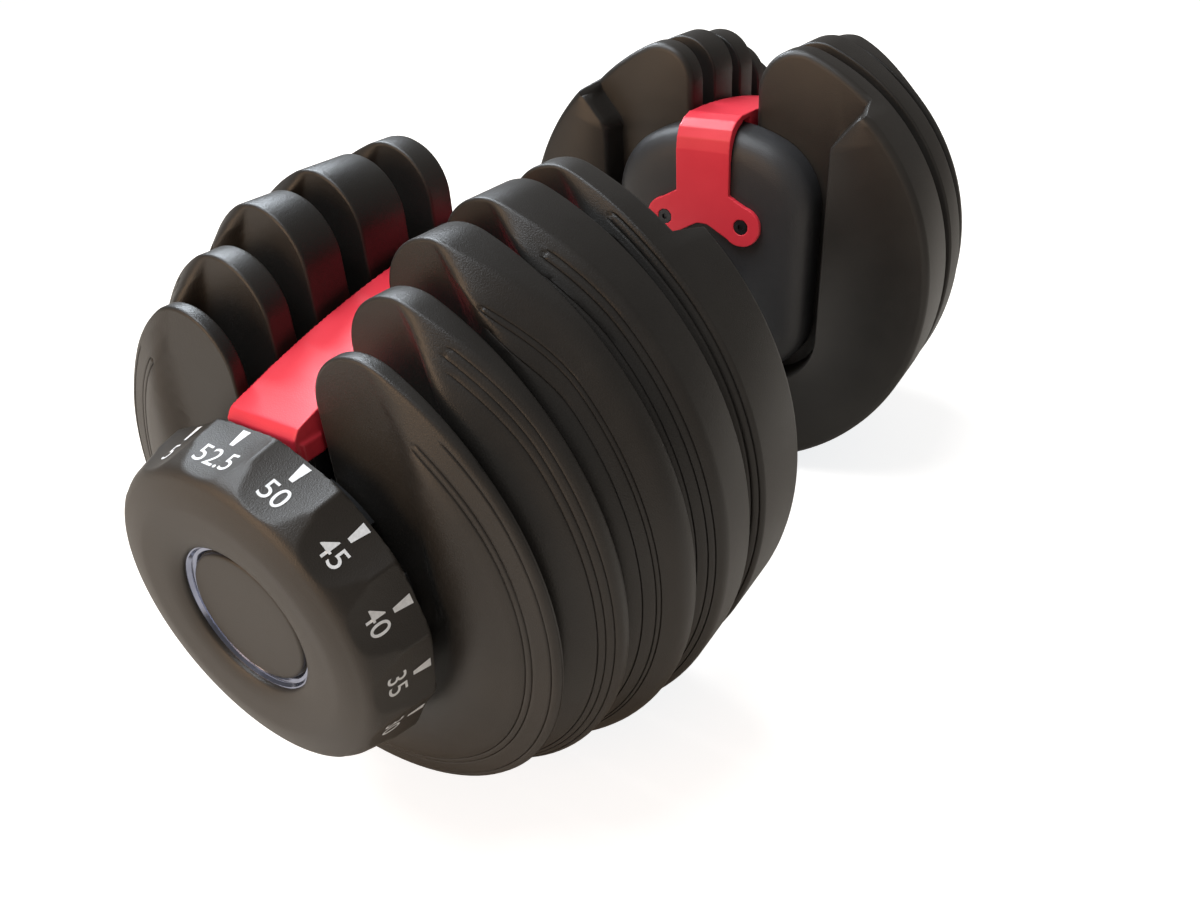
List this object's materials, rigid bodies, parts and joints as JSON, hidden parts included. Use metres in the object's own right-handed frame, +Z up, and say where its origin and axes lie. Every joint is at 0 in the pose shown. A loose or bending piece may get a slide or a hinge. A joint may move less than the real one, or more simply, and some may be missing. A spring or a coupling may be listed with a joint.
{
  "type": "adjustable dumbbell",
  "caption": "Adjustable dumbbell: slotted round plates on both ends of a rubber grip, picked up by selector discs that a numbered dial turns.",
  "frame": {"origin": "on the floor, under the middle of the grip", "axes": "+X along the handle towards the right dial, +Y across it, +Z up; the open slots of the plates face up"},
  "size_m": [0.4132, 0.2032, 0.1957],
  "materials": {
    "plate_plastic": "satin charcoal moulding with a fine grain",
    "dial_plastic": "satin charcoal, a little lighter than the plates",
    "housing_plastic": "satin dark grey",
    "red_plastic": "satin red moulding",
    "nylon": "plain black moulded nylon",
    "rubber": "matt black rubber",
    "steel": "plain steel",
    "dark_steel": "blackened steel",
    "silver": "bright silver ring"
  },
  "bodies": {
    "handle": {"axle": "steel", "grip_tube": "steel", "grip_rubber": "rubber", "bridge_screws": "dark_steel", "inner_nuts": "steel", "axle_washers": "steel", "end_nuts": "steel", "right_housing": "housing_plastic", "right_bulkhead": "steel", "right_bridge": "red_plastic", "right_spacers": "housing_plastic", "left_housing": "housing_plastic", "left_bulkhead": "steel", "left_bridge": "red_plastic", "left_spacers": "housing_plastic"},
    "right_selector": {"right_dial": "dial_plastic", "right_dial_ring": "silver", "right_dial_cap": "dial_plastic", "right_sleeve": "nylon", "right_disc_1": "nylon", "right_disc_2": "nylon", "right_disc_3": "nylon", "right_disc_4": "nylon", "right_disc_5": "nylon"},
    "right_detent": {"right_detent_plunger": "steel", "right_detent_spring": "steel"},
    "right_plate_1": {"right_plate_1_shell": "plate_plastic", "right_plate_1_core": "steel"},
    "right_plate_2": {"right_plate_2_shell": "plate_plastic", "right_plate_2_core": "steel"},
    "right_plate_3": {"right_plate_3_shell": "plate_plastic", "right_plate_3_core": "steel"},
    "right_plate_4": {"right_plate_4_shell": "plate_plastic", "right_plate_4_core": "steel"},
    "right_plate_5": {"right_plate_5_shell": "plate_plastic", "right_plate_5_core": "steel"},
    "left_selector": {"left_dial": "dial_plastic", "left_dial_ring": "silver", "left_dial_cap": "dial_plastic", "left_sleeve": "nylon", "left_disc_1": "nylon", "left_disc_2": "nylon", "left_disc_3": "nylon", "left_disc_4": "nylon", "left_disc_5": "nylon"},
    "left_detent": {"left_detent_plunger": "steel", "left_detent_spring": "steel"},
    "left_plate_1": {"left_plate_1_shell": "plate_plastic", "left_plate_1_core": "steel"},
    "left_plate_2": {"left_plate_2_shell": "plate_plastic", "left_plate_2_core": "steel"},
    "left_plate_3": {"left_plate_3_shell": "plate_plastic", "left_plate_3_core": "steel"},
    "left_plate_4": {"left_plate_4_shell": "plate_plastic", "left_plate_4_core": "steel"},
    "left_plate_5": {"left_plate_5_shell": "plate_plastic", "left_plate_5_core": "steel"}
  },
  "joints": [
    {"name": "right_dial_turn", "type": "hinge", "parent": "handle", "child": "right_selector", "pos_m": [0.19, 0, 0.10041], "axis": [1, 0, 0], "continuous": true},
    {"name": "right_detent_press", "type": "slide", "parent": "handle", "child": "right_detent", "axis": [0, 0, -1], "range_m": [0, 0.0015], "stiffness_N_per_m": 900, "springref_m": -0.003, "deforming": ["right_detent_spring"]},
    {"name": "right_plate_1_play", "type": "slide", "parent": "handle", "child": "right_plate_1", "axis": [0, 0, 1], "range_m": [-0.0003, 0.0006]},
    {"name": "right_plate_2_play", "type": "slide", "parent": "handle", "child": "right_plate_2", "axis": [0, 0, 1], "range_m": [-0.0003, 0.0006]},
    {"name": "right_plate_3_play", "type": "slide", "parent": "handle", "child": "right_plate_3", "axis": [0, 0, 1], "range_m": [-0.0003, 0.0006]},
    {"name": "right_plate_4_play", "type": "slide", "parent": "handle", "child": "right_plate_4", "axis": [0, 0, 1], "range_m": [-0.0003, 0.0006]},
    {"name": "right_plate_5_play", "type": "slide", "parent": "handle", "child": "right_plate_5", "axis": [0, 0, 1], "range_m": [-0.0003, 0.0006]},
    {"name": "left_dial_turn", "type": "hinge", "parent": "handle", "child": "left_selector", "pos_m": [-0.19, 0, 0.10041], "axis": [-1, 0, 0], "continuous": true},
    {"name": "left_detent_press", "type": "slide", "parent": "handle", "child": "left_detent", "axis": [0, 0, -1], "range_m": [0, 0.0015], "stiffness_N_per_m": 900, "springref_m": -0.003, "deforming": ["left_detent_spring"]},
    {"name": "left_plate_1_play", "type": "slide", "parent": "handle", "child": "left_plate_1", "axis": [0, 0, 1], "range_m": [-0.0003, 0.0006]},
    {"name": "left_plate_2_play", "type": "slide", "parent": "handle", "child": "left_plate_2", "axis": [0, 0, 1], "range_m": [-0.0003, 0.0006]},
    {"name": "left_plate_3_play", "type": "slide", "parent": "handle", "child": "left_plate_3", "axis": [0, 0, 1], "range_m": [-0.0003, 0.0006]},
    {"name": "left_plate_4_play", "type": "slide", "parent": "handle", "child": "left_plate_4", "axis": [0, 0, 1], "range_m": [-0.0003, 0.0006]},
    {"name": "left_plate_5_play", "type": "slide", "parent": "handle", "child": "left_plate_5", "axis": [0, 0, 1], "range_m": [-0.0003, 0.0006]}
  ]
}
